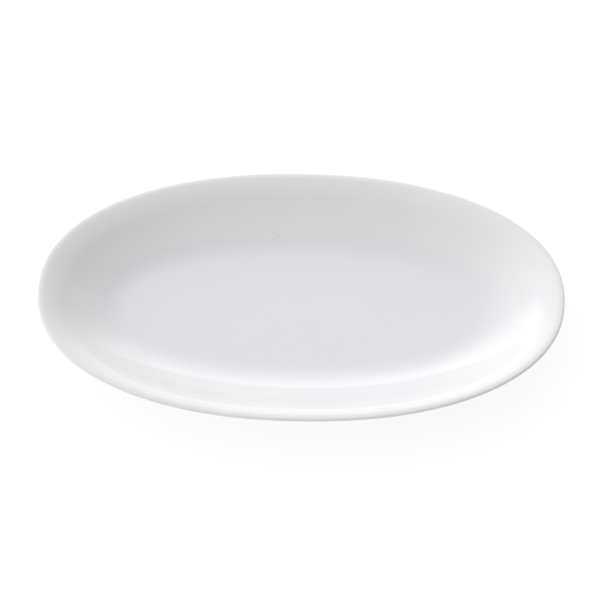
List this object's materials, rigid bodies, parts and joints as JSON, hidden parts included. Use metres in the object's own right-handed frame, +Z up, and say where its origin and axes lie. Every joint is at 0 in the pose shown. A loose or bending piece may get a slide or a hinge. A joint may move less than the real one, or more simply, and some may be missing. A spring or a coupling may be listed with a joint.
{
  "type": "oval serving platter",
  "caption": "Oval white porcelain platter with a shallow wall that flares out to a thin rounded lip, a flat well for food and a low foot ring to stand on.",
  "frame": {"origin": "centre of the oval on the plane that the foot ring stands on", "axes": "+Z up out of the well, +X along the platter's length, +Y across its width"},
  "size_m": [0.24, 0.139, 0.021],
  "materials": {
    "biscuit": "fired porcelain, bare and matt where the foot ring was wiped",
    "glaze": "clear glossy glaze over white porcelain"
  },
  "bodies": {
    "root": {"porcelain_body": "biscuit", "glaze_coat": "glaze", "base_glaze": "glaze"}
  },
  "joints": []
}
